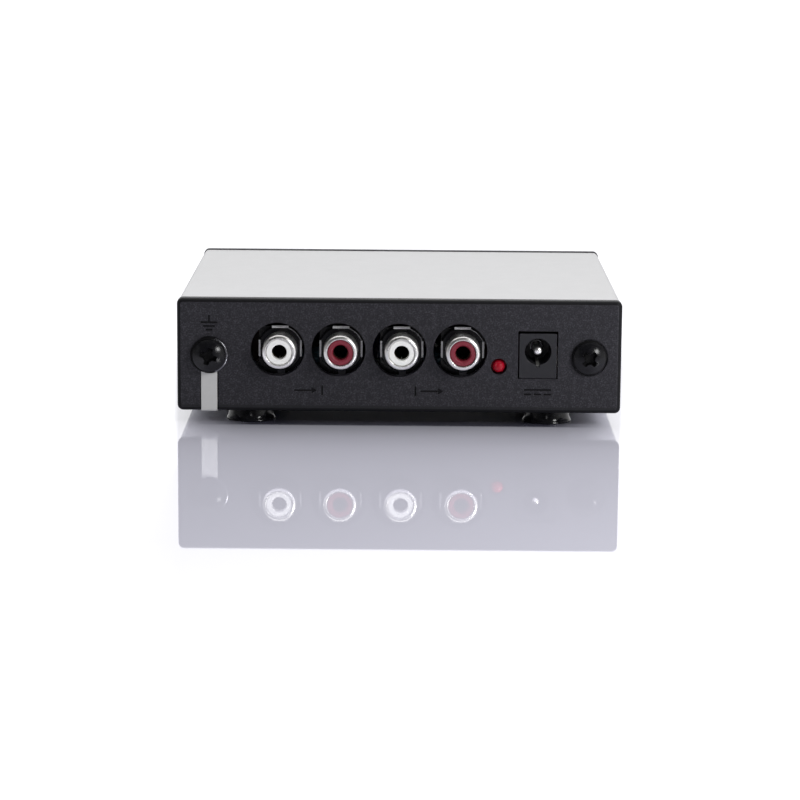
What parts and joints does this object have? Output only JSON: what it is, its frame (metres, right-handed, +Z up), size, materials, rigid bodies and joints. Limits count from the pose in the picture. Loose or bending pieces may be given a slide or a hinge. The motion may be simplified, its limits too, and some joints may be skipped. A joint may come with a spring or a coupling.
{
  "type": "phono preamp",
  "caption": "Compact phono preamp in an extruded sleeve, with phono sockets, ground terminal, power light and low-voltage inlet on its rear panel.",
  "frame": {"origin": "bottom centre of the bounding box, on the surface that the feet stand on, midway between the socket barrels' ends and the front panel's face", "axes": "+X to the right as seen from the rear panel, +Y from the rear panel to the front panel, +Z up"},
  "size_m": [0.107, 0.0974, 0.0309],
  "materials": {
    "beaded_aluminium": "bead-blasted, clear anodised",
    "textured_plastic": "fine spark-eroded texture",
    "black_steel": "black zinc, satin",
    "tinned_strap": "tinned, matt",
    "foot_rubber": "moulded, matt",
    "socket_plastic": "polished moulding",
    "plated_barrel": "nickel plated, polished",
    "insulator_white": "moulded, satin",
    "insulator_red": "moulded, satin",
    "contact_metal": "plated spring brass",
    "inlet_plastic": "smooth moulding",
    "plated_pin": "nickel plated",
    "red_lens": "tinted clear epoxy",
    "board_laminate": "green solder mask",
    "chip_epoxy": "moulded epoxy",
    "tinned_wire": "tinned",
    "film_box": "moulded box",
    "resistor_lacquer": "lacquered",
    "can_wrap": "shrunk sleeve",
    "bright_steel": "zinc plated",
    "ferrite": "pressed ferrite",
    "copper_wire": "enamelled copper"
  },
  "bodies": {
    "case": {"sleeve": "beaded_aluminium", "rear_panel": "textured_plastic", "front_panel": "textured_plastic", "case_screw": "black_steel", "case_washer": "black_steel", "ground_strap": "tinned_strap", "foot_rear_left": "foot_rubber", "foot_rear_right": "foot_rubber", "foot_front_left": "foot_rubber", "foot_front_right": "foot_rubber", "circuit_board": "board_laminate", "input_left_block": "socket_plastic", "input_left_barrel": "plated_barrel", "input_left_insulator": "insulator_white", "input_left_contact": "contact_metal", "input_right_block": "socket_plastic", "input_right_barrel": "plated_barrel", "input_right_insulator": "insulator_red", "input_right_contact": "contact_metal", "output_left_block": "socket_plastic", "output_left_barrel": "plated_barrel", "output_left_insulator": "insulator_white", "output_left_contact": "contact_metal", "output_right_block": "socket_plastic", "output_right_barrel": "plated_barrel", "output_right_insulator": "insulator_red", "output_right_contact": "contact_metal", "inlet_body": "inlet_plastic", "inlet_pin": "plated_pin", "inlet_spring": "plated_pin", "inlet_break_contact": "plated_pin", "light_lens": "red_lens", "light_leads": "tinned_wire", "op_amp_left": "chip_epoxy", "op_amp_left_legs": "tinned_wire", "op_amp_right": "chip_epoxy", "op_amp_right_legs": "tinned_wire", "film_capacitors_left": "film_box", "film_capacitors_right": "film_box", "film_capacitor_leads": "tinned_wire", "resistors": "resistor_lacquer", "resistor_leads": "tinned_wire", "reservoir_capacitors": "can_wrap", "coupling_capacitors": "can_wrap", "capacitor_leads": "tinned_wire", "regulator_body": "chip_epoxy", "regulator_tab": "tinned_wire", "regulator_screw": "bright_steel", "choke_core": "ferrite", "choke_winding": "copper_wire", "diode": "chip_epoxy", "diode_leads": "tinned_wire"},
    "terminal_washer": {"ground_washer": "black_steel"},
    "terminal_screw": {"ground_screw": "black_steel"}
  },
  "joints": [
    {"name": "terminal_slide", "type": "slide", "parent": "case", "child": "terminal_washer", "axis": [0, -1, 0], "range_m": [0, 0.0028]},
    {"name": "terminal_turn", "type": "hinge", "parent": "terminal_washer", "child": "terminal_screw", "pos_m": [-0.04575, -0.04425, 0.0172], "axis": [0, -1, 0], "range_deg": [0, 1440]}
  ],
  "couplings": [
    {"joint": "terminal_turn", "follows": "terminal_slide", "rad_per_m": 8975.9}
  ]
}
